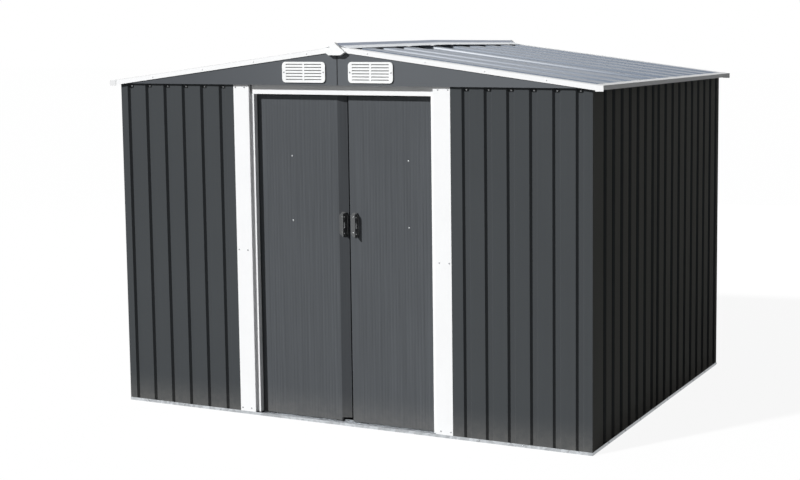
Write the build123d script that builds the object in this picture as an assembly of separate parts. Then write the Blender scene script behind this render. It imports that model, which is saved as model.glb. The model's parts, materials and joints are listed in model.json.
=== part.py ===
from build123d import *
import os
from math import atan, cos, sin

# A sheet-metal garden shed with a low gable roof and two sliding doors.
# Millimetres. X runs along the front, the front looks towards -Y, Z is up from the ground.

# Overall sizes
WALL_WIDTH = 2470.0
WALL_DEPTH = 1900.0
WALL_TOP = 1590.0
ROOF_SIDE_OVERHANG = 54.0
ROOF_END_OVERHANG = 17.0
ROOF_LIFT = 4.0
ROOF_RISE = 166.0

# Sheet, and the small gaps between pieces
SHEET = 0.8
SEAT_GAP = 0.3
SEAM_GAP = 1.0
OVERRUN = 10.0

# Rolled ribs of the wall sheets: broad crests with narrow valleys between them
RIB_PITCH = 107.4
RIB_DEPTH = 12.0
RIB_SLOPE_RUN = 9.0
VALLEY_FLOOR = 21.0
SEAM_PITCH = 83.6
LAP_WIDTH = 16.0
LAP_JOGGLE = 4.0
EDGE_FLAT = 45.0
FRONT_FIRST_VALLEY = 640.0
SIDE_SEAM_FROM_FRONT = 836.2

# Broader ribs of the roof sheets, which lap on a narrow crest with wide valleys on both sides
ROOF_RIB_DEPTH = 9.0
ROOF_SLOPE_RUN = 10.0
ROOF_CREST = 102.0
ROOF_VALLEY = 98.0
ROOF_SEAM_FROM_FRONT = 830.0
LAP_CREST_AHEAD = 14.0
LAP_CREST_BEYOND = 52.0
LAP_VALLEY_AHEAD = 206.0
LAP_VALLEY_BEYOND = 156.0

# Floor frame of shallow channels, open upwards
RAIL_HEIGHT = 14.0
TRACK_SETBACK = 58.0
BAR_WIDTH = 60.0
BAR_HEIGHT = 12.0
BAR_SETBACK = 272.0
CROSSBAR_WIDTH = 40.0
LEFT_JOIST_SHARES = (-0.837, -0.2226)
RIGHT_JOIST_SHARES = (-0.017, 0.762)
LEFT_CROSSBAR_SHARES = (-0.4167, 0.0926, 0.594)
RIGHT_CROSSBAR_SHARES = (-0.528, -0.0123, 0.5154)

# Doorway: stepped jambs, the head with its hanging track, and the sill
DOORWAY_MIDDLE = -5.0
DOORWAY_HALF_WIDTH = 467.0
JAMB_STRIP = 18.0
JAMB_STEP = 16.0
JAMB_FACE = 85.0
JAMB_RETURN = 26.0
WALL_UNDER_JAMB = 68.0
HEAD_DROP = 43.5
HEAD_END_GAP = 6.0
HEAD_TOP_GAP = 2.0
TRACK_LIP = 16.0
SILL_SETBACK = 2.0
SILL_DEPTH = 40.0
SILL_BASE = 2.0
SILL_RIDGE_HEIGHT = 5.0
SILL_RIDGE_WIDTH = 2.0
SILL_RIDGES = 4
SILL_END_GAP = 1.0

# Sliding doors
DOOR_MEETING = 14.0
DOOR_GAP = 14.0
DOOR_OVERLAP = 34.0
DOOR_SETBACK = 48.0
DOOR_EDGE = 18.0
DOOR_BOTTOM = 24.0
DOOR_APRON = 10.0
STILE_WIDTH = 46.0
STILE_DROP = 14.0
DOOR_TOP_CLEARANCE = 6.0
DOOR_RIB_PITCH = 16.0
DOOR_RIB_DEPTH = 0.5
DOOR_RIB_FLAT = 9.0
DOOR_RIB_SLOPE = 2.0
GLIDE_LENGTH = 40.0
GLIDE_INSET = 40.0
GLIDE_LEG = 6.0
GLIDE_SIDE_GAP = 0.8
GLIDE_CROWN = 10.0
GLIDE_HOOK = 8.0
GLIDE_LIFT_GAP = 1.5
GLIDE_FLOOR_GAP = 5.4
BRACE_WIDTH = 50.0
BRACE_DEPTH = 9.0
BRACE_HEIGHTS = {"lower": 948.0, "upper": 1246.0}
HANDLE_WIDTH = 41.5
HANDLE_LENGTH = 116.0
HANDLE_INSET = 4.0
HANDLE_MIDDLE = 939.0
HANDLE_CORNER = 15.0
HANDLE_PLATE = 5.0
HANDLE_BEVEL = 1.5
GRIP_PLACE = 35.0
GRIP_THICKNESS = 5.0
GRIP_REACH = 30.0
GRIP_ROOT = 114.0
GRIP_TIP = 106.0
GRIP_SLOT = 29.0
GRIP_HOLE = 9.0
GRIP_HOLE_SPREAD = 39.0
GRIP_HOLE_LIFT = 18.0

# Gables and their vents
GABLE_OVERLAP = 7.0
GABLE_PROUD = 12.0
GABLE_UNDERLAP = 25.0
VENT_MIDDLE = 175.5
VENT_LIFT = 60.0
VENT_WIDTH = 230.0
VENT_HEIGHT = 95.0
VENT_THICKNESS = 6.0
VENT_CORNER = 18.0
VENT_SIDE_RIM = 20.0
VENT_TOP_RIM = 6.0
VENT_MULLION = 9.0
VENT_ROWS = 6
VENT_SLOT = 6.5
VENT_SLOT_RISE = 5.0

# Roof trims and ridge
RIDGE_GAP = 8.0
RIDGE_CROWN = 16.0
RIDGE_REACH = 70.0
RIDGE_FLANGE = 9.0
RIDGE_SIDE_HEIGHT = 10.0
RIDGE_SIDE_LEAN = 40.0
RIDGE_BOW = 8.0
RIDGE_END_THICKNESS = 18.0
RIDGE_END_WALL = 2.5
RIDGE_END_HALF_WIDTH = 53.0
RIDGE_END_FOOT = 31.0
RIDGE_END_SHOULDER = 43.0
RIDGE_END_HEIGHT = 57.0
RIDGE_END_RISE = 2.0
RAKE_HEIGHT = 23.0
RAKE_FLANGE = 35.0
EAVE_HEIGHT = 19.0
EAVE_FLANGE = 40.0
EAVE_LIP = 12.0
EAVE_TAB = 36.0
EAVE_TAB_HEIGHT = 25.0

# Rails inside the walls and beams under the roof
RAIL_LEG = 25.0
TOP_RAIL_DROP = 37.0
TOP_RAIL_GAP = 1.0
MID_RAIL_HEIGHT = 800.0
MID_RAIL_DROP = 30.0
RAIL_END_GAP = 5.0
BEAM_WIDTH = 50.0
BEAM_HEIGHT = 45.0
SIDE_BEAM_PLACE = 620.0

# Places that several pieces share
half_width = WALL_WIDTH / 2
half_depth = WALL_DEPTH / 2
roof_half_width = half_width + ROOF_SIDE_OVERHANG
roof_half_depth = half_depth + ROOF_END_OVERHANG
roof_ridge = WALL_TOP + ROOF_LIFT + ROOF_RISE
roof_slope = ROOF_RISE / roof_half_width
roof_angle = atan(roof_slope)
ridge_top = roof_ridge + RIDGE_CROWN
wall_rib = (RIB_SLOPE_RUN, RIB_DEPTH)
roof_rib = (ROOF_SLOPE_RUN, ROOF_RIB_DEPTH)
sheet_depth = RIB_DEPTH + SHEET
wall_inner_width = half_width - sheet_depth
wall_inner_depth = half_depth - sheet_depth
rail_inner_width = wall_inner_width - RAIL_LEG
front_face = -half_depth
gable_face = front_face - GABLE_PROUD
side_seam = SIDE_SEAM_FROM_FRONT - half_depth
gable_bottom = WALL_TOP - GABLE_OVERLAP
vent_height = gable_bottom + VENT_LIFT
head_bottom = gable_bottom - HEAD_DROP
door_top = head_bottom - DOOR_TOP_CLEARANCE
door_width = DOORWAY_HALF_WIDTH + DOOR_OVERLAP - DOOR_GAP / 2
roof_sheet_end = roof_half_depth - SHEET - SEAT_GAP
roof_seam = roof_half_depth - ROOF_SEAM_FROM_FRONT

front_plane = Plane(origin=(0, -half_depth, SHEET), x_dir=(1, 0, 0), z_dir=(0, 0, 1))
right_plane = Plane(origin=(half_width, 0, SHEET), x_dir=(0, 1, 0), z_dir=(0, 0, 1))
back_plane = Plane(origin=(0, half_depth, SHEET), x_dir=(-1, 0, 0), z_dir=(0, 0, 1))
slope_plane = Plane(
    origin=(0, 0, roof_ridge),
    x_dir=(0, -1, 0),
    z_dir=(cos(roof_angle), 0, -sin(roof_angle)),
)


def crest_height(x):
    """Height of the roof sheets' crests at a distance from the ridge."""
    return roof_ridge - roof_slope * x


def roof_underside(x):
    """Height of the undersides of the roof sheets' valleys at a distance from the ridge."""
    return crest_height(x) - (ROOF_RIB_DEPTH + SHEET) / cos(roof_angle)


def folded_outline(path, thickness):
    """Closed outline of a sheet bent along a path, with its thickness on the path's left."""
    points = [Vector(*place) for place in path]
    runs = [(end - start).normalized() for start, end in zip(points, points[1:])]
    normals = [Vector(-run.Y, run.X) for run in runs]
    before = [normals[0]] + normals
    after = normals + [normals[-1]]
    inner = []
    for point, first, second in zip(points, before, after):
        inner.append(point + (first + second) * (thickness / (1 + first.dot(second))))
    return points + inner[::-1]


def outline_solid(points, plane, length):
    """A closed outline in a plane, run out along the plane's normal."""
    face = plane * make_face(Polyline(*points, close=True))
    return extrude(face, amount=length, dir=plane.z_dir)


def folded_bar(path, plane, length):
    """A sheet bent along a path in a plane, run out along the plane's normal."""
    return outline_solid(folded_outline(path, SHEET), plane, length)


def block(x, y, z):
    """A box between two places on each axis."""
    corner = Location((min(x), min(y), min(z)))
    size = Box(max(x) - min(x), max(y) - min(y), max(z) - min(z), align=(Align.MIN,) * 3)
    return corner * size


def across(solid):
    """The same piece on the other side, left for right."""
    return mirror(solid, about=Plane.YZ)


def behind(solid):
    """The same piece on the other side, front for back."""
    return mirror(solid, about=Plane.XZ)


def wall_valleys(first, last):
    """Mouths of valleys from the first valley's middle, one pitch apart, up to the last place allowed."""
    half_mouth = VALLEY_FLOOR / 2 + RIB_SLOPE_RUN
    count = int((last - first) / RIB_PITCH) + 1
    middles = [first + RIB_PITCH * index for index in range(count)]
    return [(middle - half_mouth, middle + half_mouth) for middle in middles]


def roof_valleys(start, lap_valley):
    """Mouths of a roof sheet's valleys, from the wide one beside the lap out to the sheet's edge."""
    limit = roof_sheet_end - EDGE_FLAT
    mouths = [(start, start + lap_valley)]
    near = start + lap_valley + ROOF_CREST
    while near + 4 * ROOF_SLOPE_RUN < limit:
        mouths.append((near, min(near + ROOF_VALLEY, limit)))
        near += ROOF_VALLEY + ROOF_CREST
    return mouths


def turned(mouths):
    """The same valleys on the other side of zero."""
    return [(-far, -near) for near, far in mouths]


def front_roof_valleys():
    """Valleys of the roof sheets ahead of the lap."""
    return roof_valleys(roof_seam + LAP_CREST_AHEAD, LAP_VALLEY_AHEAD)


def back_roof_valleys():
    """Valleys of the roof sheets behind the lap."""
    return roof_valleys(LAP_CREST_BEYOND - roof_seam, LAP_VALLEY_BEYOND)


def ribbed_path(start, end, mouths, rib):
    """Outer face of a ribbed sheet from start to end, its valleys sunk to the left."""
    slope_run, depth = rib
    path = [(start, 0)]
    for near, far in sorted(mouths):
        path += [
            (near, 0),
            (near + slope_run, depth),
            (far - slope_run, depth),
            (far, 0),
        ]
    return path + [(end, 0)]


def lapped_path(seam, end, mouths, rib):
    """A ribbed sheet whose first edge steps in to lap behind its neighbour at the seam."""
    lap = [(seam - LAP_WIDTH, SHEET), (seam, SHEET)]
    return lap + ribbed_path(seam + LAP_JOGGLE, end, mouths, rib)


def wall_sheet(path, plane):
    """A ribbed sheet standing on the floor rail."""
    return folded_bar(path, plane, WALL_TOP - SHEET)


def wall_sheets():
    """Front sheets beside the doorway, and lapped pairs at the sides and back."""
    front_start = DOORWAY_HALF_WIDTH + JAMB_STRIP + JAMB_FACE - WALL_UNDER_JAMB
    front_valleys = wall_valleys(FRONT_FIRST_VALLEY, half_width - EDGE_FLAT)
    front = wall_sheet(ribbed_path(front_start, half_width, front_valleys, wall_rib), front_plane)

    side_end = half_depth - SHEET
    ahead = turned(wall_valleys(SEAM_PITCH / 2 - side_seam, half_depth - EDGE_FLAT))
    beyond = wall_valleys(side_seam + SEAM_PITCH / 2, half_depth - EDGE_FLAT)
    side_front = wall_sheet(ribbed_path(-side_end, side_seam, ahead, wall_rib), right_plane)
    side_rear = wall_sheet(lapped_path(side_seam, side_end, beyond, wall_rib), right_plane)

    back_valleys = wall_valleys(SEAM_PITCH / 2, half_width - EDGE_FLAT)
    back_right = wall_sheet(ribbed_path(-half_width, 0, turned(back_valleys), wall_rib), back_plane)
    back_left = wall_sheet(lapped_path(0, half_width, back_valleys, wall_rib), back_plane)
    return {
        "front_wall_right": front,
        "front_wall_left": across(front),
        "right_wall_front": side_front,
        "right_wall_rear": side_rear,
        "left_wall_front": across(side_front),
        "left_wall_rear": across(side_rear),
        "back_wall_right": back_right,
        "back_wall_left": back_left,
    }


def channel(width, height):
    """Path of a channel open upwards, centred on zero, its outer faces along the path."""
    half = width / 2
    return [(-half, height), (-half, 0), (half, 0), (half, height)]


def base_rail(half_length, setback):
    """A mitred rail along the -Y side, with the wall standing behind its outer flange."""
    width = TRACK_SETBACK + SHEET
    outer = half_length + SHEET
    inner = half_length - TRACK_SETBACK
    near = -setback - SHEET
    far = -setback + TRACK_SETBACK
    path = [(near + width / 2 + place, height) for place, height in channel(width, RAIL_HEIGHT)]
    bar = folded_bar(path, Plane.YZ.offset(-outer), 2 * outer)
    plan = [(-outer, near), (outer, near), (inner, far), (-inner, far)]
    return bar & outline_solid(plan, Plane.XY, RAIL_HEIGHT)


def floor_frame():
    """Perimeter rails, two bars along the front and back, and two ladders between them."""
    front = base_rail(half_width, half_depth)
    right = Rotation(0, 0, 90) * base_rail(half_depth, half_width)
    inner_width = half_width - TRACK_SETBACK
    bar_middle = half_depth - BAR_SETBACK
    bar_path = [(place - bar_middle, height) for place, height in channel(BAR_WIDTH, BAR_HEIGHT)]
    bar = folded_bar(bar_path, Plane.YZ.offset(-inner_width), 2 * inner_width)

    joist_half = bar_middle - BAR_WIDTH / 2
    left_joists = [share * inner_width for share in LEFT_JOIST_SHARES]
    right_joists = [share * inner_width for share in RIGHT_JOIST_SHARES]
    joists = []
    for middle in left_joists + right_joists:
        path = [(middle + place, height) for place, height in channel(BAR_WIDTH, BAR_HEIGHT)]
        joists.append(folded_bar(path, Plane.XZ.offset(-joist_half), 2 * joist_half))
    left_bars = [share * joist_half for share in LEFT_CROSSBAR_SHARES]
    right_bars = [share * joist_half for share in RIGHT_CROSSBAR_SHARES]
    return {
        "base_rail_front": front,
        "base_rail_back": behind(front),
        "base_rail_right": right,
        "base_rail_left": across(right),
        "floor_bar_front": bar,
        "floor_bar_back": behind(bar),
        "floor_joists": Compound(children=joists),
        "floor_crossbars_left": crossbars(*left_joists, left_bars),
        "floor_crossbars_right": crossbars(*right_joists, right_bars),
    }


def crossbars(first_joist, second_joist, places):
    """Short channels between two joists."""
    start = first_joist + BAR_WIDTH / 2
    length = second_joist - first_joist - BAR_WIDTH
    bars = []
    for middle in places:
        path = [(middle + place, height) for place, height in channel(CROSSBAR_WIDTH, BAR_HEIGHT)]
        bars.append(folded_bar(path, Plane.YZ.offset(start), length))
    return Compound(children=bars)


def doorway():
    """Stepped jambs over the wall sheets' edges, the head with its track, and the sill."""
    step = DOORWAY_HALF_WIDTH + JAMB_STRIP
    strip = JAMB_STEP - SHEET
    jamb_path = [
        (DOORWAY_HALF_WIDTH, strip + JAMB_RETURN),
        (DOORWAY_HALF_WIDTH, strip),
        (step, strip),
        (step, -SHEET),
        (step + JAMB_FACE, -SHEET),
    ]
    jamb_plane = front_plane.offset(RAIL_HEIGHT - SHEET)
    jamb = folded_bar(jamb_path, jamb_plane, head_bottom - RAIL_HEIGHT)
    jamb += folded_bar(jamb_path[2:], jamb_plane, gable_bottom - RAIL_HEIGHT)

    face = front_face + JAMB_STEP
    lip = front_face + TRACK_SETBACK
    head_path = [
        (face, WALL_TOP - HEAD_TOP_GAP),
        (face, head_bottom),
        (lip, head_bottom),
        (lip, head_bottom + TRACK_LIP),
    ]
    head = folded_bar(head_path, Plane.YZ.offset(-rail_inner_width), 2 * rail_inner_width)
    end_gap = block(
        (step - HEAD_END_GAP, step),
        (face - OVERRUN, face + OVERRUN),
        (head_bottom + SHEET, gable_bottom),
    )
    middle = Pos(DOORWAY_MIDDLE, 0, 0)
    head -= middle * (end_gap + across(end_gap))

    sill_half = DOORWAY_HALF_WIDTH - SILL_END_GAP
    ends = (-sill_half, sill_half)
    near = front_face + SILL_SETBACK
    top = SHEET + SILL_BASE
    sill = block(ends, (near, near + SILL_DEPTH), (SHEET, top))
    ridge_pitch = (SILL_DEPTH - SILL_RIDGE_WIDTH) / (SILL_RIDGES - 1)
    for index in range(SILL_RIDGES):
        start = near + ridge_pitch * index
        sill += block(ends, (start, start + SILL_RIDGE_WIDTH), (SHEET, top + SILL_RIDGE_HEIGHT))
    return {
        "door_jamb_right": middle * jamb,
        "door_jamb_left": middle * across(jamb),
        "door_head": head,
        "door_sill": middle * sill,
    }


def door_panel(start, end):
    """A door sheet with fine upright ribs, a stile sloping back to its right and its edges folded."""
    first = start + STILE_WIDTH
    stile = end - STILE_WIDTH
    groove = DOOR_RIB_PITCH - DOOR_RIB_FLAT
    count = int((stile - first - DOOR_RIB_FLAT) / DOOR_RIB_PITCH)
    margin = (stile - first - count * DOOR_RIB_PITCH - DOOR_RIB_FLAT) / 2
    path = [(start, DOOR_SETBACK)]
    for index in range(count):
        near = first + margin + DOOR_RIB_FLAT + DOOR_RIB_PITCH * index
        path += [
            (near, DOOR_SETBACK),
            (near + DOOR_RIB_SLOPE, DOOR_SETBACK + DOOR_RIB_DEPTH),
            (near + groove - DOOR_RIB_SLOPE, DOOR_SETBACK + DOOR_RIB_DEPTH),
            (near + groove, DOOR_SETBACK),
        ]
    path.append((stile, DOOR_SETBACK))
    apron = folded_bar(path, front_plane.offset(DOOR_APRON - SHEET), DOOR_BOTTOM - DOOR_APRON)
    fold = DOOR_SETBACK + DOOR_EDGE
    sheet_path = [(start, fold)] + path + [(end, DOOR_SETBACK + STILE_DROP), (end, fold)]
    sheet = folded_bar(sheet_path, front_plane.offset(DOOR_BOTTOM - SHEET), door_top - DOOR_BOTTOM)
    panel = sheet + apron
    rear = front_face + fold
    for low in (DOOR_BOTTOM, door_top - SHEET):
        heights = (low, low + SHEET)
        panel += block((start, stile), (front_face + DOOR_SETBACK + DOOR_RIB_DEPTH, rear), heights)
        panel += block((stile, end), (front_face + DOOR_SETBACK + STILE_DROP, rear), heights)
    return panel


def door_glides(start, end):
    """Hooks over the head's track at the top, and guides astride the floor rail at the foot."""
    rear = front_face + TRACK_SETBACK
    outer = rear + GLIDE_SIDE_GAP
    inner = rear - SHEET - GLIDE_SIDE_GAP
    lip_top = head_bottom + TRACK_LIP
    seat = lip_top + SEAT_GAP
    crown = seat + GLIDE_CROWN
    hook = [
        (outer, door_top),
        (outer + GLIDE_LEG, door_top),
        (outer + GLIDE_LEG, crown),
        (inner - GLIDE_LEG, crown),
        (inner - GLIDE_LEG, lip_top - GLIDE_HOOK),
        (inner, lip_top - GLIDE_HOOK),
        (inner, seat),
        (outer, seat),
    ]
    foot = SHEET + GLIDE_FLOOR_GAP
    roof = RAIL_HEIGHT + GLIDE_LIFT_GAP
    guide = [
        (outer, foot),
        (outer + GLIDE_LEG, foot),
        (outer + GLIDE_LEG, DOOR_BOTTOM),
        (inner - GLIDE_LEG, DOOR_BOTTOM),
        (inner - GLIDE_LEG, foot),
        (inner, foot),
        (inner, roof),
        (outer, roof),
    ]
    glides = []
    for place in (start + GLIDE_INSET, end - GLIDE_INSET - GLIDE_LENGTH):
        for outline in (hook, guide):
            glides.append(outline_solid(outline, Plane.YZ.offset(place), GLIDE_LENGTH))
    return Compound(children=glides)


def door_braces(start, end):
    """Two channels across the back of the door sheet, up to its stile."""
    length = end - STILE_WIDTH - start - SHEET
    near = front_face + DOOR_SETBACK + DOOR_RIB_DEPTH + SHEET
    far = near + BRACE_DEPTH
    braces = []
    for middle in BRACE_HEIGHTS.values():
        low = middle - BRACE_WIDTH / 2
        high = middle + BRACE_WIDTH / 2
        path = [(far, high), (near, high), (near, low), (far, low)]
        braces.append(folded_bar(path, Plane.YZ.offset(start + SHEET), length))
    return Compound(children=braces)


def door_handle(edge, run):
    """A moulded plate with cut corners, running from its left edge, and a pierced grip upright on it."""
    up = Vector(0, 0, 1)
    outwards = run.cross(up)
    middle = edge + run * (HANDLE_WIDTH / 2)
    outline = Rectangle(HANDLE_WIDTH, HANDLE_LENGTH)
    outline = chamfer(outline.vertices(), HANDLE_CORNER)
    plate = extrude(Plane(origin=middle, x_dir=run, z_dir=outwards) * outline, amount=HANDLE_PLATE)
    plate = chamfer(plate.faces().sort_by(Axis(middle, outwards))[-1].edges(), HANDLE_BEVEL)

    foot = edge + run * (GRIP_PLACE - GRIP_THICKNESS / 2)
    sunk = foot.Y - front_face - DOOR_SETBACK
    root = HANDLE_PLATE / 2
    tip = GRIP_REACH + sunk
    grip = [(-GRIP_ROOT / 2, root), (GRIP_ROOT / 2, root), (GRIP_TIP / 2, tip), (-GRIP_TIP / 2, tip)]
    side = Plane(origin=foot, x_dir=up, z_dir=(1, 0, 0))
    hole_line = GRIP_HOLE_LIFT + sunk
    holes = Sketch(children=[Pos(0, hole_line) * SlotOverall(GRIP_SLOT, GRIP_HOLE)])
    for place in (-GRIP_HOLE_SPREAD, GRIP_HOLE_SPREAD):
        holes += Pos(place, hole_line) * Circle(GRIP_HOLE / 2)
    bore = extrude(side.offset(-OVERRUN) * holes, amount=GRIP_THICKNESS + 2 * OVERRUN)
    return plate + outline_solid(grip, side, GRIP_THICKNESS) - bore


def doors():
    """Two like sliding doors that meet a little right of the middle, with the same handle on both."""
    left_end = DOOR_MEETING - DOOR_GAP / 2
    right_start = DOOR_MEETING + DOOR_GAP / 2
    spans = {
        "left_door_": (left_end - door_width, left_end),
        "right_door_": (right_start, right_start + door_width),
    }
    named = {}
    for door, span in spans.items():
        named[door + "panel"] = door_panel(*span)
        named[door + "glides"] = door_glides(*span)
        named[door + "braces"] = door_braces(*span)

    face = front_face + DOOR_SETBACK
    seam = Vector(left_end, face + STILE_DROP, HANDLE_MIDDLE)
    slope = (seam - Vector(left_end - STILE_WIDTH, face, HANDLE_MIDDLE)).normalized()
    flat_edge = Vector(right_start + HANDLE_INSET, face, HANDLE_MIDDLE)
    named["left_door_handle"] = door_handle(seam - slope * (HANDLE_INSET + HANDLE_WIDTH), slope)
    named["right_door_handle"] = door_handle(flat_edge, Vector(1, 0, 0))
    return named


def gable(last_valley):
    """A half panel proud of the wall, folded back to it, and a flange under the roof's last valley."""
    flange_width = -gable_face - last_valley[1] + ROOF_SLOPE_RUN + GABLE_UNDERLAP
    start = SEAM_GAP / 2
    plane = Plane.XZ.offset(-gable_face)
    drop = SHEET / cos(roof_angle)
    outline = [
        (start, gable_bottom),
        (half_width, gable_bottom),
        (half_width, roof_underside(half_width)),
        (start, roof_underside(start)),
    ]
    flange = [
        (start, roof_underside(start) - drop),
        (half_width, roof_underside(half_width) - drop),
        (half_width, roof_underside(half_width)),
        (start, roof_underside(start)),
    ]
    panel = outline_solid(outline, plane, SHEET)
    panel += outline_solid(flange, plane.offset(-flange_width), flange_width + SHEET)
    depths = (gable_face, front_face)
    panel += block((start, half_width), depths, (gable_bottom, gable_bottom + SHEET))
    panel += block((half_width - SHEET, half_width), depths, (gable_bottom, roof_underside(half_width)))
    window_half_width = VENT_WIDTH / 2 - VENT_SIDE_RIM
    window_half_height = VENT_HEIGHT / 2 - VENT_TOP_RIM
    return panel - block(
        (VENT_MIDDLE - window_half_width, VENT_MIDDLE + window_half_width),
        (gable_face - SHEET - OVERRUN, gable_face + OVERRUN),
        (vent_height - window_half_height, vent_height + window_half_height),
    )


def gables():
    """Two half panels and a pair of vents at each end, and a soffit over the doorway."""
    front = gable(front_roof_valleys()[-1])
    soffit_depths = (front_face, front_face + JAMB_STEP)
    soffit_heights = (gable_bottom, gable_bottom + SHEET)
    front += block((SEAM_GAP / 2, DOORWAY_HALF_WIDTH), soffit_depths, soffit_heights)
    back = behind(gable(back_roof_valleys()[-1]))
    vents = gable_vents(gable_face - SHEET)
    return {
        "gable_front_right": front,
        "gable_front_left": across(front),
        "gable_back_right": back,
        "gable_back_left": across(back),
        "front_vents": vents,
        "back_vents": behind(vents),
    }


def gable_vents(face):
    """A pair of moulded vent plates, each with two columns of slots that rise inwards."""
    plane = Plane(origin=(VENT_MIDDLE, face, vent_height), x_dir=(1, 0, 0), z_dir=(0, -1, 0))
    plate = extrude(plane * RectangleRounded(VENT_WIDTH, VENT_HEIGHT, VENT_CORNER), amount=VENT_THICKNESS)
    column = (VENT_WIDTH - 2 * VENT_SIDE_RIM - VENT_MULLION) / 2
    row_pitch = (VENT_HEIGHT - 2 * VENT_TOP_RIM) / VENT_ROWS
    spots = GridLocations(column + VENT_MULLION, row_pitch, 2, VENT_ROWS)
    slots = Sketch(children=[spot * Rectangle(column, VENT_SLOT) for spot in spots])
    inwards = Vector(0, VENT_THICKNESS, VENT_SLOT_RISE)
    plate -= extrude(plane.offset(VENT_THICKNESS) * slots, amount=inwards.length, dir=inwards.normalized())
    return Compound(children=[plate, across(plate)])


def roof_sheets():
    """Two lapped sheets on each slope, ribbed down the slope."""
    start = RIDGE_GAP / 2
    length = (roof_half_width - SHEET - SEAT_GAP - start) / cos(roof_angle)
    plane = slope_plane.offset(start / cos(roof_angle))
    front_path = lapped_path(roof_seam, roof_sheet_end, front_roof_valleys(), roof_rib)
    back_path = ribbed_path(-roof_sheet_end, roof_seam, turned(back_roof_valleys()), roof_rib)
    front = folded_bar(front_path, plane, length)
    back = folded_bar(back_path, plane, length)
    return {
        "roof_right_front": front,
        "roof_right_back": back,
        "roof_left_front": across(front),
        "roof_left_back": across(back),
    }


def on_slope(along, above):
    """A place in the XZ plane, along the right slope from the ridge and above its crests."""
    x = along * cos(roof_angle) + above * sin(roof_angle)
    return (x, roof_ridge - along * sin(roof_angle) + above * cos(roof_angle))


def ridge():
    """The folded ridge cap, bowed up to its middle, and a moulded cap over each end of it."""
    lift = 2 * SHEET
    edge = on_slope(RIDGE_REACH, lift)
    knee = on_slope(RIDGE_REACH - RIDGE_FLANGE, lift)
    shoulder = (knee[0] - RIDGE_SIDE_LEAN, knee[1] + RIDGE_SIDE_HEIGHT)
    side = [edge, knee, shoulder]
    path = side + [(0, ridge_top)] + [(-x, z) for x, z in reversed(side)]
    section = Plane.XZ.offset(roof_half_depth) * make_face(Polyline(*folded_outline(path, SHEET), close=True))
    rise = Vector(0, roof_half_depth, RIDGE_BOW)
    half = extrude(section, amount=rise.length, dir=rise.normalized())
    cap = half + behind(half)

    apex = ridge_top + RIDGE_END_RISE
    foot = apex - RIDGE_END_HEIGHT
    shoulder = apex - RIDGE_END_SHOULDER
    outline = [
        (-RIDGE_END_FOOT, foot),
        (RIDGE_END_FOOT, foot),
        (RIDGE_END_HALF_WIDTH, shoulder),
        (0, apex),
        (-RIDGE_END_HALF_WIDTH, shoulder),
    ]
    plane = Plane.XZ.offset(roof_half_depth)
    shell = outline_solid(outline, plane, RIDGE_END_THICKNESS)
    inner = plane * offset(make_face(Polyline(*outline, close=True)), -RIDGE_END_WALL)
    hollow = RIDGE_END_THICKNESS - RIDGE_END_WALL
    shell -= extrude(inner, amount=hollow, dir=plane.z_dir)
    return {
        "ridge_cap": cap,
        "ridge_end_front": shell,
        "ridge_end_back": behind(shell),
    }


def roof_trims():
    """Angles along the sloping edges, and folded trims along the eaves with tabs over their ends."""
    start = (RIDGE_GAP / 2 + RAKE_HEIGHT * sin(roof_angle)) / cos(roof_angle)
    end = (roof_half_width - SHEET - SEAT_GAP) / cos(roof_angle)
    rake_path = [
        (roof_half_depth - RAKE_FLANGE, -SHEET),
        (roof_half_depth, -SHEET),
        (roof_half_depth, RAKE_HEIGHT),
    ]
    rake = folded_bar(rake_path, slope_plane.offset(start), end - start)

    edge = roof_half_width
    lift = 2 * SHEET
    top = crest_height(edge) + lift / cos(roof_angle)
    low = top - EAVE_HEIGHT
    flange = (edge - EAVE_FLANGE, top + EAVE_FLANGE * roof_slope)
    eave_path = [(edge - EAVE_LIP, low), (edge, low), (edge, top), flange]
    eave_half = roof_half_depth - SHEET
    eave = folded_bar(eave_path, Plane.XZ.offset(-eave_half), 2 * eave_half)
    corner = folded_bar(eave_path[1:], Plane.XZ.offset(eave_half), 2 * SHEET)
    tab = [
        (edge, top),
        (edge - EAVE_TAB, top + EAVE_TAB * roof_slope),
        (edge - EAVE_TAB, top - EAVE_TAB_HEIGHT),
        (edge, top - EAVE_TAB_HEIGHT),
    ]
    corner += outline_solid(tab, Plane.XZ.offset(roof_half_depth), SHEET)
    eave += corner + behind(corner)
    return {
        "rake_trim_front_right": rake,
        "rake_trim_front_left": across(rake),
        "rake_trim_back_right": behind(rake),
        "rake_trim_back_left": across(behind(rake)),
        "eave_trim_right": eave,
        "eave_trim_left": across(eave),
    }


def wall_rails(top, drop):
    """Angles round the inside of the side and back walls."""
    side_path = [(wall_inner_width, top - drop), (wall_inner_width, top), (rail_inner_width, top)]
    side = folded_bar(side_path, Plane.XZ.offset(-wall_inner_depth), 2 * wall_inner_depth)
    rail_inner_depth = wall_inner_depth - RAIL_LEG
    back_path = [(wall_inner_depth, top - drop), (wall_inner_depth, top), (rail_inner_depth, top)]
    back_half = rail_inner_width - RAIL_END_GAP
    back = folded_bar(back_path, Plane.YZ.offset(-back_half), 2 * back_half)
    return Compound(children=[side, across(side), back])


def roof_beam(middle):
    """A channel open downwards, from gable to gable under the roof sheets."""
    half = BEAM_WIDTH / 2
    top = roof_underside(abs(middle) + half) - SHEET / cos(roof_angle) - SEAT_GAP
    low = top - BEAM_HEIGHT
    path = [(middle + half, low), (middle + half, top), (middle - half, top), (middle - half, low)]
    return folded_bar(path, Plane.XZ.offset(gable_face), -2 * gable_face)


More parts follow.
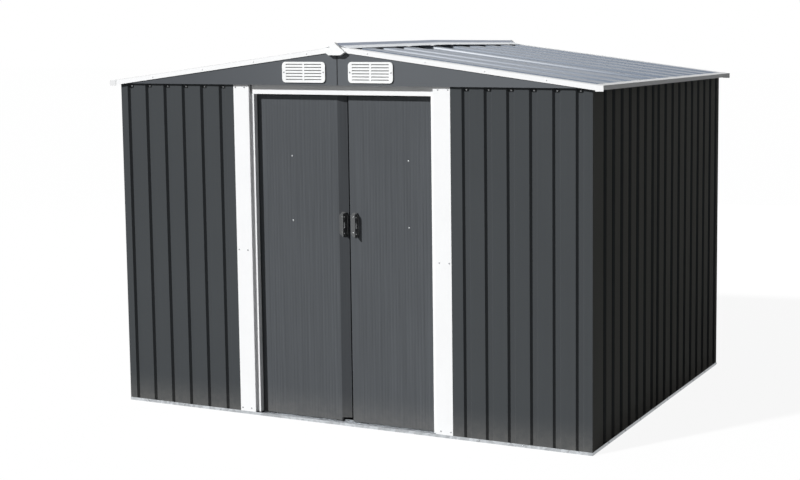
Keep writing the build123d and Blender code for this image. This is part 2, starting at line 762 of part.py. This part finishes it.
def inside():
    """Rails that stiffen the walls and beams that carry the roof."""
    side_beam = roof_beam(SIDE_BEAM_PLACE)
    return {
        "wall_top_rails": wall_rails(WALL_TOP - TOP_RAIL_GAP, TOP_RAIL_DROP),
        "wall_mid_rails": wall_rails(MID_RAIL_HEIGHT + MID_RAIL_DROP / 2, MID_RAIL_DROP),
        "ridge_beam": roof_beam(0),
        "roof_beam_right": side_beam,
        "roof_beam_left": across(side_beam),
    }


os.makedirs("parts", exist_ok=True)
for group in (
    floor_frame(),
    wall_sheets(),
    doorway(),
    doors(),
    gables(),
    roof_sheets(),
    ridge(),
    roof_trims(),
    inside(),
):
    for node, piece in group.items():
        export_step(piece, f"parts/{node}.step")
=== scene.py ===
import json
import math

import bpy
from mathutils import Matrix, Vector


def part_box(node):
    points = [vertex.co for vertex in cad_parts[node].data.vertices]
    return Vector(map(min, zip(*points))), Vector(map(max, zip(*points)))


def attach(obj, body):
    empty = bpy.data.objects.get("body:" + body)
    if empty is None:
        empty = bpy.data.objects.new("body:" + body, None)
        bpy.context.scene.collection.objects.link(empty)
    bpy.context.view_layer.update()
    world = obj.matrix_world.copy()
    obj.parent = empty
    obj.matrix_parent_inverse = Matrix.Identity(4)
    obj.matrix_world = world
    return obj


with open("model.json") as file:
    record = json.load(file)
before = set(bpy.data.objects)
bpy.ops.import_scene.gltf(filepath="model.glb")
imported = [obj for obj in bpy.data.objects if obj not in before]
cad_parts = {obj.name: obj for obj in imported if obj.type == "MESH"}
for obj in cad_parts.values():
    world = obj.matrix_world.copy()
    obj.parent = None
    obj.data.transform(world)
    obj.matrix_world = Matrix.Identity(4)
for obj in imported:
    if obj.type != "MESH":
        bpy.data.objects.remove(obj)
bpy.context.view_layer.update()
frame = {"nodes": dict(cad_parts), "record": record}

# Looks for a sheet-metal garden shed: paints, galvanised steel, mouldings and fasteners. Metres.


def row(first, pitch, count):
    """Places at an even pitch."""
    return [first + pitch * index for index in range(count)]


# The sheets, as they are in the solids
SHEET = 0.0008
RIB_PITCH = 0.1074
FRONT_VALLEYS = row(0.640, RIB_PITCH, 6)
SIDE_VALLEYS = row(-0.1556, -RIB_PITCH, 7) + row(-0.072, RIB_PITCH, 10)
BACK_VALLEYS = row(0.0418, RIB_PITCH, 11)
WALL_HALF_WIDTH = 1.235
WALL_HALF_DEPTH = 0.950
WALL_RIB = 0.012
ROOF_RIDGE = 1.760
ROOF_SLOPE = 0.166 / 1.289
ROOF_ANGLE = math.atan(ROOF_SLOPE)
ROOF_RIB = 0.009
ROOF_VALLEYS = (-0.890, -0.708, -0.508, -0.254, -0.007, 0.222, 0.422, 0.622, 0.822)
ROOF_LAP = -0.129
RIDGE_BOW = 0.008
VENT_FACE = -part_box("front_vents")[0].y

# Outward directions
FRONT = Vector((0, -1, 0))
BACK = Vector((0, 1, 0))
RIGHT = Vector((1, 0, 0))
UP_SLOPE = Vector((math.sin(ROOF_ANGLE), 0, math.cos(ROOF_ANGLE)))

# Fasteners: x is across the shed and y along it
WALL_SCREW_HEIGHT = 1.571
RAIL_SCREW_HEIGHT = 0.0075
ROOF_SCREW_X = (0.62, 1.2)
LAP_SCREW_X = (0.2, 0.45, 0.8, 1.05)
RIDGE_SCREW_X = 0.0652
RIDGE_SCREW_Y = (-0.85, -0.51, -0.17, 0.17, 0.51, 0.85)
RAKE_SCREW_X = (0.16, 0.45, 0.74, 1.03)
RAKE_SCREW_DROP = 0.0115
JAMB_SCREW_HEIGHTS = (0.030, 0.798, 1.570)
JAMB_SCREW_INSETS = (0.011, 0.0605)
VENT_SCREW_X = 0.0695
VENT_SCREW_INSET = 0.009
DOOR_BOLTS = (("left", -0.287, (0.945, 1.250)), ("right", 0.329, (0.940, 1.244)))
HANDLE_SCREWS = (
    ("left", Vector((-0.02072, -0.90166, 0.939)), Vector((0.2912, -0.9567, 0))),
    ("right", Vector((0.040, -0.907, 0.939)), FRONT),
)
HANDLE_SCREW_SPREAD = 0.036
SMOOTH_ANGLE = math.radians(38)
UPWARD = 0.9

# Places of the colour sockets on a Mix node, which share their names
MIX_FIRST = 6
MIX_SECOND = 7
MIX_COLOUR = 2
NOISE_MIDDLE = 0.5


class Value:
    """A socket in a node tree, with plain arithmetic on it."""

    def __init__(self, graph, socket):
        self.graph = graph
        self.socket = socket

    def maths(self, operation, first, second=0.0, clamp=False):
        settings = {"operation": operation, "use_clamp": clamp}
        return self.graph.node("ShaderNodeMath", settings, {0: first, 1: second})

    def __add__(self, other):
        return self.maths("ADD", self, other)

    def __radd__(self, other):
        return self.maths("ADD", other, self)

    def __sub__(self, other):
        return self.maths("SUBTRACT", self, other)

    def __rsub__(self, other):
        return self.maths("SUBTRACT", other, self)

    def __mul__(self, other):
        return self.maths("MULTIPLY", self, other)

    def __rmul__(self, other):
        return self.maths("MULTIPLY", other, self)

    def __truediv__(self, other):
        return self.maths("DIVIDE", self, other)

    def clamped(self):
        return self.maths("ADD", self, clamp=True)

    def size(self):
        return self.maths("ABSOLUTE", self)

    def less_than(self, limit):
        return self.maths("LESS_THAN", self, limit)

    def power(self, exponent):
        return self.maths("POWER", self, exponent)

    def swing(self, amount):
        """A noise that swings about zero by an amount."""
        return amount * (self - NOISE_MIDDLE)

    def rising_from(self, start, over):
        """0 up to the start, then rising to 1 over a length."""
        return ((self - start) / over).clamped()

    def fading_to(self, end, over):
        """1 at first, then falling over a length to 0 at the end."""
        return ((end - self) / over).clamped()


class Graph:
    """A node tree, grown by one method for every kind of node."""

    def __init__(self, tree):
        self.tree = tree

    def node(self, kind, settings=None, sockets=None, output=0):
        node = self.tree.nodes.new(kind)
        for key, value in (settings or {}).items():
            setattr(node, key, value)
        for key, value in (sockets or {}).items():
            if isinstance(value, Value):
                self.link(value, node.inputs[key])
            else:
                node.inputs[key].default_value = value
        return Value(self, node.outputs[output])

    def link(self, value, socket):
        self.tree.links.new(value.socket, socket)

    def seen(self):
        """1 for rays that come straight, mirrored or let through, 0 for scattered light."""
        kinds = ("Camera", "Glossy", "Transmission")
        rays = [self.node("ShaderNodeLightPath", output=f"Is {kind} Ray") for kind in kinds]
        return sum(rays).clamped()


finishes = {}


class Finish(Graph):
    """A finish on the piece's own coordinates, kept under its name."""

    def __init__(self, name, constants):
        self.material = bpy.data.materials.new(name)
        self.material.use_nodes = True
        super().__init__(self.material.node_tree)
        self.shader = self.tree.nodes["Principled BSDF"]
        self.place = self.node("ShaderNodeTexCoord", output="Object")
        for socket, value in constants.items():
            self.shader.inputs[socket].default_value = value
        finishes[name] = self.material

    def feed(self, socket, value):
        self.link(value, self.shader.inputs[socket])

    def noise(self, scale, detail, roughness=0.55, stretch=(1, 1, 1)):
        stretched = self.node("ShaderNodeMapping", None, {"Vector": self.place, "Scale": stretch})
        sockets = {"Vector": stretched, "Scale": scale, "Detail": detail, "Roughness": roughness}
        return self.node("ShaderNodeTexNoise", None, sockets)

    def along(self, axis):
        return self.node("ShaderNodeSeparateXYZ", None, {0: self.place}, output="XYZ".index(axis))

    def blend(self, factor, first, second):
        """One colour into another by a factor from 0 to 1."""
        sockets = {0: factor, MIX_FIRST: as_colour(first), MIX_SECOND: as_colour(second)}
        return self.node("ShaderNodeMix", {"data_type": "RGBA"}, sockets, output=MIX_COLOUR)

    def mottled(self, tone, colour, darkest, lightest):
        return self.blend(tone, shade(colour, darkest), shade(colour, lightest))

    def relief(self, height, distance, strength):
        sockets = {"Strength": strength, "Distance": distance, "Height": height}
        self.feed("Normal", self.node("ShaderNodeBump", None, sockets))


def as_colour(value):
    return value if isinstance(value, Value) else (*value, 1.0)


def shade(colour, factor):
    return tuple(min(1.0, part * factor) for part in colour)


# Tones that lie on a coat, many of them painted light or shade: colours, amounts and the lengths
# over which they show
# Side walls: a painted light on the crests and a painted shade in the valleys
SIDE_CREST_PAINTED_LIGHT = (0.080, 0.078, 0.066)
SIDE_CREST_PAINTED_LIGHT_AMOUNT = 0.6
CREST_DEPTH = 0.004
CORNER_WIDTH = 0.005
VALLEY_PAINTED_SHADE = (0.004, 0.004, 0.004)
VALLEY_PAINTED_SHADE_AMOUNT = 0.5
VALLEY_REACH = 0.004
VALLEY_SOFTNESS = 0.002
BAND_TONE = (0.006, 0.006, 0.007)
BAND_SOFTNESS = 0.002
# Doors: a painted shade along the stiles
STILE_HALF_WIDTH = 0.023
STILE_PAINTED_SHADE_DARKNESS = 0.3
SEAM_HALF_WIDTH = 0.004
SEAM_DARKNESS = 0.8
# Gables: a painted light, paler towards the right
GABLE_PAINTED_LIGHT = (0.3, 0.32, 0.34)
GABLE_PAINTED_LIGHT_AMOUNT = 0.15
GABLE_PAINTED_LIGHT_SPAN = 0.8
# Roof: painted highlights along the rib edges
RIB_HIGHLIGHT_TONE = (0.8, 0.83, 0.87)
RIB_HIGHLIGHT_HALF_WIDTH = 0.007
RIB_HIGHLIGHT_SHIFT = 0.005
RIB_HIGHLIGHT_REACH = 1.25
RIB_HIGHLIGHT_WEIGHTS = {
    -0.841: 0.65, -0.757: 0.55, -0.659: 0.65, -0.557: 0.55, -0.459: 0.6,
    -0.357: 0.5, -0.151: 1.0, 0.071: 0.3, 0.173: 0.15, 0.271: 0.25,
    0.373: 0.15, 0.471: 0.2, 0.573: 0.1, 0.671: 0.15, 0.871: 0.15,
}
SPLASH_DUST = (0.36, 0.34, 0.31)
SPLASH_AMOUNT = 0.35
SPLASH_HEIGHT = 0.16
SPLASH_FALL = 1.6
SPLASH_ROUGHNESS = 0.3
TRIM_WHITE = (0.85, 0.855, 0.86)
# Trim: a greyer tone on the flanges over the roof and on the left eave
TRIM_GREYING_FACTOR = 0.4
TRIM_GREYING_AMOUNT = 0.22
FLANGE_UNDER_CREST = 0.003
FLANGE_SOFTNESS = 0.002
LEFT_EAVE = -1.248
LEFT_EAVE_SOFTNESS = 0.003
LEFT_EAVE_WEIGHT = 2
# Ridge cap: a painted shade along its crown
CROWN_PAINTED_SHADE = (0.21, 0.27, 0.41)
CROWN_HALF_WIDTH = 0.019
CROWN_SOFTNESS = 0.003
MOULDED_WHITE = (0.84, 0.85, 0.85)
# Vents: a painted shade in the slots
SLOT_PAINTED_SHADE_FACTOR = 0.2
SLOT_AMOUNT = 0.7
SLOT_START = 0.0006
SLOT_SOFTNESS = 0.003
SPANGLE_SHARE = 0.6


# The functions down to the one for the vent slots take a finish and its coat, and give the new
# coat; several of them paint light or shade into it

def bare(finish, coat):
    """The coat as it is."""
    return coat


def side_wall_painted_light_and_shade(paint, coat):
    """A warmer painted light on the crests of the side walls and painted shade in their valleys."""
    sunk = WALL_HALF_WIDTH - paint.along("X").size()
    off_front = paint.along("Y").size().fading_to(WALL_HALF_DEPTH, over=CORNER_WIDTH)
    crest = sunk.fading_to(CREST_DEPTH, over=CREST_DEPTH) * off_front
    coat = paint.blend(crest * SIDE_CREST_PAINTED_LIGHT_AMOUNT, coat, SIDE_CREST_PAINTED_LIGHT)
    off_valley = (sunk - WALL_RIB).size()
    valley = off_valley.fading_to(VALLEY_REACH, over=VALLEY_SOFTNESS) * off_front
    return paint.blend(valley * VALLEY_PAINTED_SHADE_AMOUNT, coat, VALLEY_PAINTED_SHADE)


def dark_band(paint, coat, middle, half_width, darkness):
    """An upright dark band across the coat."""
    band = (paint.along("X") - middle).size().fading_to(half_width, over=BAND_SOFTNESS)
    return paint.blend(band * darkness, coat, BAND_TONE)


def door_stile_painted_shade(paint, coat):
    """Painted shade: darker stiles along the right edges of the doors."""
    for side in ("left", "right"):
        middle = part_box(side + "_door_panel")[1].x - STILE_HALF_WIDTH
        coat = dark_band(paint, coat, middle, STILE_HALF_WIDTH, STILE_PAINTED_SHADE_DARKNESS)
    return coat


def gable_painted_light_and_seam(paint, coat):
    """A painted light, paler towards the right, with a dark line where the halves meet."""
    across = paint.along("X").rising_from(-GABLE_PAINTED_LIGHT_SPAN, over=GABLE_PAINTED_LIGHT_SPAN)
    coat = paint.blend(across * GABLE_PAINTED_LIGHT_AMOUNT, coat, GABLE_PAINTED_LIGHT)
    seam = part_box("gable_front_right")[0].x
    return dark_band(paint, coat, seam, SEAM_HALF_WIDTH, SEAM_DARKNESS)


def roof_rib_painted_highlights(paint, coat):
    """Painted highlights along rib edges of the roof, by y and weight, fading towards the eaves."""
    y = paint.along("Y")
    highlights = []
    for place, weight in RIB_HIGHLIGHT_WEIGHTS.items():
        off_line = (y - (place - RIB_HIGHLIGHT_SHIFT)).size()
        highlights.append(off_line.fading_to(RIB_HIGHLIGHT_HALF_WIDTH, over=RIB_HIGHLIGHT_HALF_WIDTH) * weight)
    inwards = (RIB_HIGHLIGHT_REACH - paint.along("X").size()).clamped()
    return paint.blend(sum(highlights) * inwards, coat, RIB_HIGHLIGHT_TONE)


def greyed_trim(paint, coat):
    """Greyer on the flanges that lie over the roof and on the left eave."""
    over_roof = paint.along("Z") + ROOF_SLOPE * paint.along("X").size() - ROOF_RIDGE
    flange = over_roof.rising_from(-FLANGE_UNDER_CREST, over=FLANGE_SOFTNESS)
    eave = paint.along("X").fading_to(LEFT_EAVE, over=LEFT_EAVE_SOFTNESS) * LEFT_EAVE_WEIGHT
    greying = (flange + eave).clamped()
    return paint.blend(greying * TRIM_GREYING_AMOUNT, coat, shade(TRIM_WHITE, TRIM_GREYING_FACTOR))


def crown_painted_shade(paint, coat):
    """A bluish painted shade along the top of the ridge cap."""
    off_crown = paint.along("X").size().rising_from(CROWN_HALF_WIDTH, over=CROWN_SOFTNESS)
    return paint.blend(off_crown, CROWN_PAINTED_SHADE, coat)


def slot_painted_shade(plastic, coat):
    """Painted shade in the slots behind the face of the vents."""
    behind = plastic.along("Y").size().fading_to(VENT_FACE - SLOT_START, over=SLOT_SOFTNESS)
    return plastic.blend(behind * SLOT_AMOUNT, coat, shade(MOULDED_WHITE, SLOT_PAINTED_SHADE_FACTOR))


def sheet_paint(name, colour, roughness, specular, streak, grain, tones):
    """Coil-coated steel: streaks along the ribs, clouds, splash dust low down, fine texture."""
    paint = Finish(name, {"Specular IOR Level": specular})
    clouds = paint.noise(scale=2.2, detail=4.0)
    streaks = paint.noise(scale=9.0, detail=3.0, roughness=0.6, stretch=grain)
    tone = (NOISE_MIDDLE + streaks.swing(streak) + clouds.swing(0.5)).clamped()
    coat = tones(paint, paint.mottled(tone, colour, darkest=0.86, lightest=1.14))
    low = paint.along("Z").fading_to(SPLASH_HEIGHT, over=SPLASH_HEIGHT)
    splash = low.power(SPLASH_FALL) * paint.noise(scale=34.0, detail=5.0, roughness=0.7)
    paint.feed("Base Color", paint.blend(splash * SPLASH_AMOUNT, coat, SPLASH_DUST))
    paint.feed("Roughness", roughness + streaks.swing(0.14) + SPLASH_ROUGHNESS * splash)
    paint.relief(paint.noise(scale=520.0, detail=2.0), distance=0.00012, strength=0.5)


def trim_paint(name, colour, roughness, specular, tones):
    """Pale powder coat: a slight orange-peel skin and a breath of grime."""
    paint = Finish(name, {"Specular IOR Level": specular})
    grime = paint.noise(scale=7.0, detail=6.0, roughness=0.7)
    coat = paint.blend(grime.power(2.0), colour, shade(colour, factor=0.93))
    paint.feed("Base Color", tones(paint, coat))
    paint.feed("Roughness", roughness + grime.swing(0.16))
    paint.relief(paint.noise(scale=380.0, detail=2.0), distance=0.00015, strength=0.6)


def zinc_steel(name, colour, roughness):
    """Galvanised steel with its crystal spangle and dull oxide patches."""
    zinc = Finish(name, {"Metallic": 0.8})
    sockets = {"Vector": zinc.place, "Scale": 70.0}
    cells = zinc.node("ShaderNodeTexVoronoi", None, sockets, output="Color")
    spangle = zinc.node("ShaderNodeSeparateColor", None, {0: cells})
    oxide = zinc.noise(scale=14.0, detail=5.0, roughness=0.65)
    tone = (SPANGLE_SHARE * spangle + (1 - SPANGLE_SHARE) * oxide).clamped()
    zinc.feed("Base Color", zinc.mottled(tone, colour, darkest=0.72, lightest=1.2))
    zinc.feed("Roughness", roughness + spangle.swing(0.22) + oxide.swing(0.2))
    zinc.relief(spangle, distance=0.00006, strength=0.4)


def moulding(name, colour, roughness, grain, tones=bare):
    """Moulded plastic with a fine spark-eroded skin."""
    plastic = Finish(name, {"Specular IOR Level": 0.4})
    cloud = plastic.noise(scale=18.0, detail=3.0)
    coat = plastic.mottled(cloud, colour, darkest=0.92, lightest=1.08)
    plastic.feed("Base Color", tones(plastic, coat))
    plastic.feed("Roughness", roughness + cloud.swing(0.12))
    plastic.relief(plastic.noise(scale=900.0, detail=2.0), distance=grain, strength=0.7)


sheet_paint(
    "wall_paint", (0.055, 0.060, 0.064), roughness=0.7, specular=0.05,
    streak=0.4, grain=(9, 9, 0.15), tones=side_wall_painted_light_and_shade,
)
sheet_paint(
    "door_paint", (0.074, 0.080, 0.087), roughness=0.62, specular=0.1,
    streak=2.0, grain=(9, 9, 0.15), tones=door_stile_painted_shade,
)
sheet_paint(
    "gable_paint", (0.072, 0.078, 0.086), roughness=0.6, specular=0.12,
    streak=0.16, grain=(0.6, 0.6, 4), tones=gable_painted_light_and_seam,
)
sheet_paint(
    "roof_paint", (0.145, 0.175, 0.225), roughness=0.4, specular=0.42,
    streak=0.24, grain=(0.3, 5, 5), tones=roof_rib_painted_highlights,
)
trim_paint("white_trim", TRIM_WHITE, roughness=0.45, specular=0.06, tones=greyed_trim)
trim_paint("ridge_paint", (0.84, 0.88, 0.93), roughness=0.3, specular=0.5, tones=crown_painted_shade)
zinc_steel("galvanised", (0.46, 0.48, 0.5), roughness=0.42)
moulding("white_moulding", MOULDED_WHITE, roughness=0.5, grain=0.0001, tones=slot_painted_shade)
moulding("black_moulding", (0.018, 0.018, 0.02), roughness=0.42, grain=0.00012)
moulding("grey_moulding", (0.085, 0.088, 0.09), roughness=0.5, grain=0.00012)
zinc_steel("screw_zinc", (0.36, 0.37, 0.38), roughness=0.4)
moulding("washer_rubber", (0.022, 0.023, 0.025), roughness=0.7, grain=0.0002)

for subpart in frame["record"]["subparts"]:
    node = frame["nodes"][subpart["node"]]
    node.data.materials.clear()
    node.data.materials.append(finishes[subpart["material_slot"]])


def turned_blank(name, sides, radius, height, low=0.0):
    """A round blank that stands on a height, in edit mode with its top face picked."""
    bpy.ops.object.select_all(action="DESELECT")
    place = (0, 0, low + height / 2)
    bpy.ops.mesh.primitive_cylinder_add(
        vertices=sides, radius=radius, depth=height, location=place
    )
    bpy.ops.object.transform_apply(location=True, rotation=True, scale=True)
    blank = bpy.context.object
    blank.name = name
    for part in (*blank.data.edges, *blank.data.vertices):
        part.select = False
    for face in blank.data.polygons:
        face.select = face.normal.z > UPWARD
    bpy.ops.object.mode_set(mode="EDIT")
    bpy.ops.mesh.select_mode(type="FACE")
    return blank


def draw_out(rise, narrowing):
    """Raise the picked face, or sink it, and narrow it."""
    bpy.ops.mesh.extrude_region_move(TRANSFORM_OT_translate={"value": (0, 0, rise)})
    bpy.ops.transform.resize(value=(narrowing, narrowing, 1))


def domed_screw(name, radius, height, low=0.0):
    """A pan-head screw: a domed head with a recess for the driver."""
    head = turned_blank(name, 10, radius, height * 0.45, low)
    draw_out(height * 0.4, narrowing=0.78)
    draw_out(height * 0.15, narrowing=0.62)
    bpy.ops.mesh.inset(thickness=radius * 0.16)
    draw_out(-height * 0.4, narrowing=0.45)
    bpy.ops.object.mode_set(mode="OBJECT")
    return head


def dished_washer(name, radius, height):
    """A sealing washer whose rim slopes down to the sheet."""
    washer = turned_blank(name, 12, radius, height * 0.5)
    draw_out(height * 0.5, narrowing=0.82)
    bpy.ops.object.mode_set(mode="OBJECT")
    return washer


def set_out(name, pattern, places, finish, body):
    """Copies of a pattern, each stood on its place along its outward direction, as one piece."""
    copies = []
    for place, outward in places:
        copy = pattern.copy()
        copy.data = pattern.data.copy()
        bpy.context.scene.collection.objects.link(copy)
        turn = outward.to_track_quat("Z", "Y").to_matrix().to_4x4()
        copy.data.transform(Matrix.Translation(place) @ turn)
        copies.append(copy)
    bpy.ops.object.select_all(action="DESELECT")
    for copy in copies:
        copy.select_set(True)
    bpy.context.view_layer.objects.active = copies[0]
    bpy.ops.object.join()
    piece = bpy.context.view_layer.objects.active
    piece.name = name
    piece.data.materials.clear()
    piece.data.materials.append(finishes[finish])
    bpy.ops.object.shade_smooth_by_angle(angle=SMOOTH_ANGLE)
    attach(piece, body)


def both_sides(places):
    """The same places left and right of the middle."""
    flip = Vector((-1, 1, 1))
    return places + [(place * flip, outward * flip) for place, outward in places]


wall_screw = domed_screw("wall_screw_pattern", radius=0.0042, height=0.0028, low=0.0012)
wall_washer = dished_washer("wall_washer_pattern", radius=0.0066, height=0.0012)
trim_screw = domed_screw("trim_screw_pattern", radius=0.0038, height=0.0024)
door_bolt = domed_screw("door_bolt_pattern", radius=0.0046, height=0.0030)


def sealed_screws(name, places):
    """Zinc heads on rubber washers."""
    set_out(name + "_screws", wall_screw, places, "screw_zinc", "shed")
    set_out(name + "_washers", wall_washer, places, "washer_rubber", "shed")


def plain_screws(name, places, body="shed"):
    """Small zinc heads straight on the metal."""
    set_out(name, trim_screw, places, "screw_zinc", body)


def painted_screws(name, places):
    """Small heads painted with the trim they hold."""
    set_out(name, trim_screw, places, "white_trim", "shed")


def on_wall(outward, face, along, height):
    """A row of places at one height on a front, back or right face."""
    if outward == RIGHT:
        return [(Vector((face, y, height)), outward) for y in along]
    return [(Vector((x, face, height)), outward) for x in along]


def next_crests(valleys):
    """The middles of the crests that follow the valleys."""
    return [place + RIB_PITCH / 2 for place in valleys]


def on_roof(x, y, sunk):
    """A place on the right slope, sunk below the crests square to the slope."""
    return Vector((x, y, ROOF_RIDGE - ROOF_SLOPE * x - sunk / math.cos(ROOF_ANGLE)))


front_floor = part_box("front_wall_right")[1].y - SHEET
side_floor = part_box("right_wall_front")[0].x + SHEET
back_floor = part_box("back_wall_left")[0].y + SHEET
mid_rail = sum(corner.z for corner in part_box("wall_mid_rails")) / 2

front_places = on_wall(FRONT, front_floor, FRONT_VALLEYS, WALL_SCREW_HEIGHT)
sealed_screws("front_wall", both_sides(front_places))
side_places = on_wall(RIGHT, side_floor, SIDE_VALLEYS, WALL_SCREW_HEIGHT)
side_places += on_wall(RIGHT, side_floor, SIDE_VALLEYS[::2], mid_rail)
sealed_screws("side_wall", both_sides(side_places))
back_places = on_wall(BACK, back_floor, BACK_VALLEYS, WALL_SCREW_HEIGHT)
back_places += on_wall(BACK, back_floor, BACK_VALLEYS[::2], mid_rail)
sealed_screws("back_wall", both_sides(back_places))

rail_places = []
for outward, face, valleys in (
    (FRONT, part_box("base_rail_front")[0].y, FRONT_VALLEYS[:-1:2]),
    (BACK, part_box("base_rail_back")[1].y, BACK_VALLEYS[:-1:2]),
    (RIGHT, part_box("base_rail_right")[1].x, SIDE_VALLEYS[::2]),
):
    rail_places += on_wall(outward, face, next_crests(valleys), RAIL_SCREW_HEIGHT)
plain_screws("base_rail_screws", both_sides(rail_places))

roof_places = [(on_roof(x, y, ROOF_RIB), UP_SLOPE) for x in ROOF_SCREW_X for y in ROOF_VALLEYS]
sealed_screws("roof", both_sides(roof_places))
lap_places = [(on_roof(x, ROOF_LAP, 0.0), UP_SLOPE) for x in LAP_SCREW_X]
plain_screws("roof_lap_screws", both_sides(lap_places))

ridge_places = []
for y in RIDGE_SCREW_Y:
    lift = 2 * SHEET + RIDGE_BOW * (1 - abs(y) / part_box("ridge_cap")[1].y)
    ridge_places.append((on_roof(RIDGE_SCREW_X, y, -lift), UP_SLOPE))
painted_screws("ridge_screws", both_sides(ridge_places))

rake_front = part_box("rake_trim_front_right")[0].y
rake_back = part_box("rake_trim_back_right")[1].y
rake_places = []
for x in RAKE_SCREW_X:
    rake_places.append((on_roof(x, rake_front, RAKE_SCREW_DROP), FRONT))
    rake_places.append((on_roof(x, rake_back, RAKE_SCREW_DROP), BACK))
painted_screws("rake_screws", both_sides(rake_places))

jamb_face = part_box("door_jamb_right")[0].y
jamb_places = []
for edge, inwards in ((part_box("door_jamb_right")[1].x, -1), (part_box("door_jamb_left")[0].x, 1)):
    columns = [edge + inwards * inset for inset in JAMB_SCREW_INSETS]
    for height in JAMB_SCREW_HEIGHTS:
        jamb_places += on_wall(FRONT, jamb_face, columns, height)
plain_screws("jamb_screws", jamb_places)

vent_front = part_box("front_vents")
vent_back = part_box("back_vents")
vent_height = (vent_front[0].z + vent_front[1].z) / 2
vent_places = []
for x in (VENT_SCREW_X, vent_front[1].x - VENT_SCREW_INSET):
    vent_places.append((Vector((x, vent_front[0].y, vent_height)), FRONT))
    vent_places.append((Vector((x, vent_back[1].y, vent_height)), BACK))
plain_screws("vent_screws", both_sides(vent_places))

for side, x, heights in DOOR_BOLTS:
    door_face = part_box(side + "_door_panel")[0].y
    bolts = [(Vector((x, door_face, height)), FRONT) for height in heights]
    set_out(side + "_door_bolts", door_bolt, bolts, "screw_zinc", side + "_door")

for side, place, outward in HANDLE_SCREWS:
    spread = Vector((0, 0, HANDLE_SCREW_SPREAD))
    grips = [(place - spread, outward), (place + spread, outward)]
    plain_screws(side + "_handle_screws", grips, side + "_door")

for pattern in (wall_screw, wall_washer, trim_screw, door_bolt):
    bpy.data.objects.remove(pattern)


def studio_world():
    """A white surround for what is seen directly or mirrored, and a soft even fill."""
    world = bpy.data.worlds.new("studio")
    bpy.context.scene.world = world
    world.use_nodes = True
    sky = Graph(world.node_tree)
    sky.tree.nodes.clear()
    fill_sockets = {"Color": (0.9, 0.95, 1.0, 1.0), "Strength": 0.05}
    fill = sky.node("ShaderNodeBackground", None, fill_sockets)
    white_sockets = {"Color": (1, 1, 1, 1), "Strength": 1.0}
    white = sky.node("ShaderNodeBackground", None, white_sockets)
    mixed = sky.node("ShaderNodeMixShader", None, {0: sky.seen(), 1: fill, 2: white})
    output = sky.tree.nodes.new("ShaderNodeOutputWorld")
    sky.link(mixed, output.inputs["Surface"])


def studio_floor(width, glow_amount, glow_strength):
    """A wide pale floor that keeps a faint shadow and does not glow inside the shed."""
    bpy.ops.object.select_all(action="DESELECT")
    bpy.ops.mesh.primitive_plane_add(size=width, location=(0, 0, 0))
    floor = bpy.context.object
    floor.name = "studio_floor"
    constants = {"Base Color": (0.3, 0.3, 0.3, 1.0), "Roughness": 0.9, "Specular IOR Level": 0.0}
    pale = Finish("studio_floor", constants)
    between_sides = pale.along("X").size().less_than(WALL_HALF_WIDTH)
    indoors = between_sides * pale.along("Y").size().less_than(WALL_HALF_DEPTH)
    amount = pale.seen() * (glow_amount * (1.0 - indoors))
    glow_sockets = {"Color": (1, 1, 1, 1), "Strength": glow_strength}
    glow = pale.node("ShaderNodeEmission", None, glow_sockets)
    surface = Value(pale, pale.shader.outputs[0])
    mixed = pale.node("ShaderNodeMixShader", None, {0: amount, 1: surface, 2: glow})
    pale.link(mixed, pale.tree.nodes["Material Output"].inputs["Surface"])
    floor.data.materials.append(pale.material)


def hang(name, lamp, aim):
    """Put a lamp in the scene so that it shines along the aim."""
    holder = bpy.data.objects.new(name, lamp)
    bpy.context.scene.collection.objects.link(holder)
    holder.rotation_mode = "QUATERNION"
    holder.rotation_quaternion = aim.to_track_quat("-Z", "Y")
    return holder


def key_light(source, strength, spread):
    """A broad sun-like lamp, given by the direction that it comes from."""
    lamp = bpy.data.lights.new("key", "SUN")
    lamp.energy = strength
    lamp.angle = math.radians(spread)
    hang("key", lamp, -Vector(source))


def fill_light(place, target, size, power):
    """A wide soft lamp, unseen by itself."""
    lamp = bpy.data.lights.new("fill", "AREA")
    lamp.shape = "RECTANGLE"
    lamp.size, lamp.size_y = size
    lamp.energy = power
    holder = hang("fill", lamp, Vector(target) - Vector(place))
    holder.location = place
    holder.visible_camera = False
    holder.visible_glossy = False


def camera(lens, shift, place, angles):
    """The main view, fitted to the edges in the photo."""
    data = bpy.data.cameras.new("camera")
    data.sensor_fit = "HORIZONTAL"
    data.sensor_width = 36.0
    data.lens = lens
    data.shift_x, data.shift_y = shift
    data.clip_end = 300
    holder = bpy.data.objects.new("camera", data)
    bpy.context.scene.collection.objects.link(holder)
    holder.location = place
    holder.rotation_euler = [math.radians(angle) for angle in angles]
    bpy.context.scene.camera = holder


bpy.context.scene.view_settings.view_transform = "Standard"
studio_world()
studio_floor(width=120, glow_amount=0.7, glow_strength=1.32)
key_light(source=(-0.434, -0.700, 0.567), strength=4.15, spread=3.0)
fill_light(place=(-1.0, -7.6, 2.6), target=(0, -0.95, 0.9), size=(4.4, 3.6), power=40.0)
fill_light(place=(-1.5, 8.0, 1.3), target=(0, 0.95, 0.8), size=(5.0, 2.0), power=130.0)
camera(
    lens=65.529,
    shift=(-0.12184, -0.07062),
    place=(3.4212, -6.6846, 1.8131),
    angles=(84.131, 0.327, 24.598),
)
